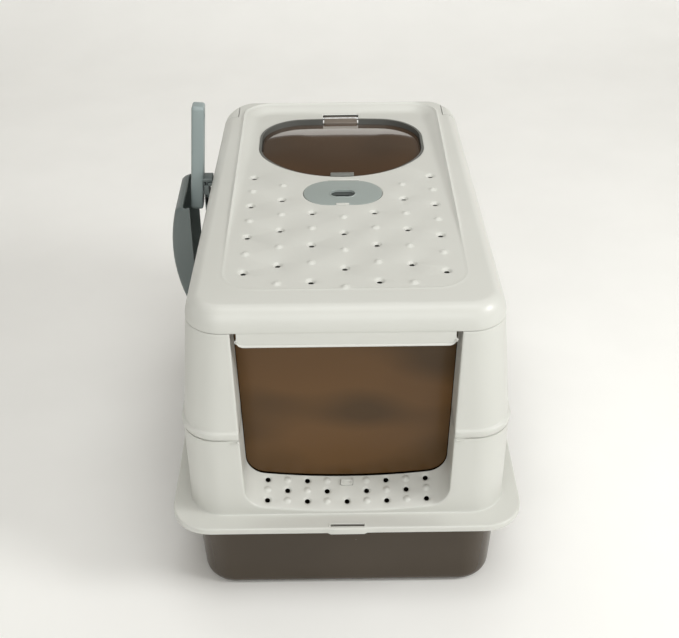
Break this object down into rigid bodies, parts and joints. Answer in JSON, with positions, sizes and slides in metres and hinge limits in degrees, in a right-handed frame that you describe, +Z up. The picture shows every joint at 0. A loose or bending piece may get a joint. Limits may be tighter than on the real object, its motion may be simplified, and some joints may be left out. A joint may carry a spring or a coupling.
{
  "type": "hooded cat litter box",
  "caption": "Hooded cat litter box with a deep pan, perforated hinged lid, latched top window, front swing door, drained sill and a scoop hung on the side.",
  "frame": {"origin": "middle of the pan's underside, on the surface it stands on", "axes": "+X to the right seen from the entrance, +Y from the entrance to the back, +Z up"},
  "size_m": [0.431, 0.6112, 0.4774],
  "materials": {
    "shell_plastic": "satin warm light grey moulded polypropylene",
    "pan_plastic": "glossy dark taupe moulded polypropylene",
    "grey_plastic": "satin grey-green moulded plastic",
    "scoop_plastic": "satin blue-grey moulded plastic",
    "smoked_clear": "glossy smoked brown clear plastic",
    "pin_steel": "plain steel"
  },
  "bodies": {
    "pan": {"litter_pan": "pan_plastic"},
    "hood": {"lower_frame": "shell_plastic", "upper_frame": "shell_plastic", "hinge_ear_left": "shell_plastic", "hinge_ear_right": "shell_plastic", "lid_hinge_pins": "pin_steel", "door_bracket_left": "shell_plastic", "door_bracket_right": "shell_plastic", "door_hinge_pins": "pin_steel", "lock_guide": "shell_plastic", "scoop_hanger": "scoop_plastic"},
    "lid": {"top_cover": "shell_plastic", "window_ring": "grey_plastic", "window_hinge_pin": "pin_steel", "latch_plate": "grey_plastic", "latch_housing": "shell_plastic", "housing_screws": "pin_steel", "latch_spring": "pin_steel"},
    "window": {"window_dome": "smoked_clear", "window_hinge_block": "smoked_clear", "window_catch": "grey_plastic"},
    "latch": {"latch_button": "grey_plastic", "latch_bolt": "grey_plastic"},
    "door": {"front_door": "smoked_clear"},
    "lock": {"door_lock": "shell_plastic"},
    "scoop": {"scoop": "scoop_plastic"}
  },
  "joints": [
    {"name": "hood_lift", "type": "slide", "parent": "pan", "child": "hood", "axis": [0, 0, 1], "range_m": [0, 0.15]},
    {"name": "lid_hinge", "type": "hinge", "parent": "hood", "child": "lid", "pos_m": [0, 0.25, 0.389], "axis": [-1, 0, 0], "range_deg": [0, 100]},
    {"name": "window_hinge", "type": "hinge", "parent": "lid", "child": "window", "pos_m": [0, 0.246, 0.391], "axis": [-1, 0, 0], "range_deg": [0, 100]},
    {"name": "latch_slide", "type": "slide", "parent": "lid", "child": "latch", "axis": [0, -1, 0], "range_m": [0, 0.005], "stiffness_N_per_m": 300, "springref_m": -0.002, "deforming": ["latch_spring"]},
    {"name": "door_swing", "type": "hinge", "parent": "hood", "child": "door", "pos_m": [0, -0.2354, 0.362], "axis": [1, 0, 0], "range_deg": [-60, 75]},
    {"name": "lock_slide", "type": "slide", "parent": "hood", "child": "lock", "axis": [0, -0.342, 0.9397], "range_m": [0, 0.005]},
    {"name": "scoop_lift", "type": "slide", "parent": "hood", "child": "scoop", "axis": [0, 0, 1], "range_m": [0, 0.05]}
  ]
}
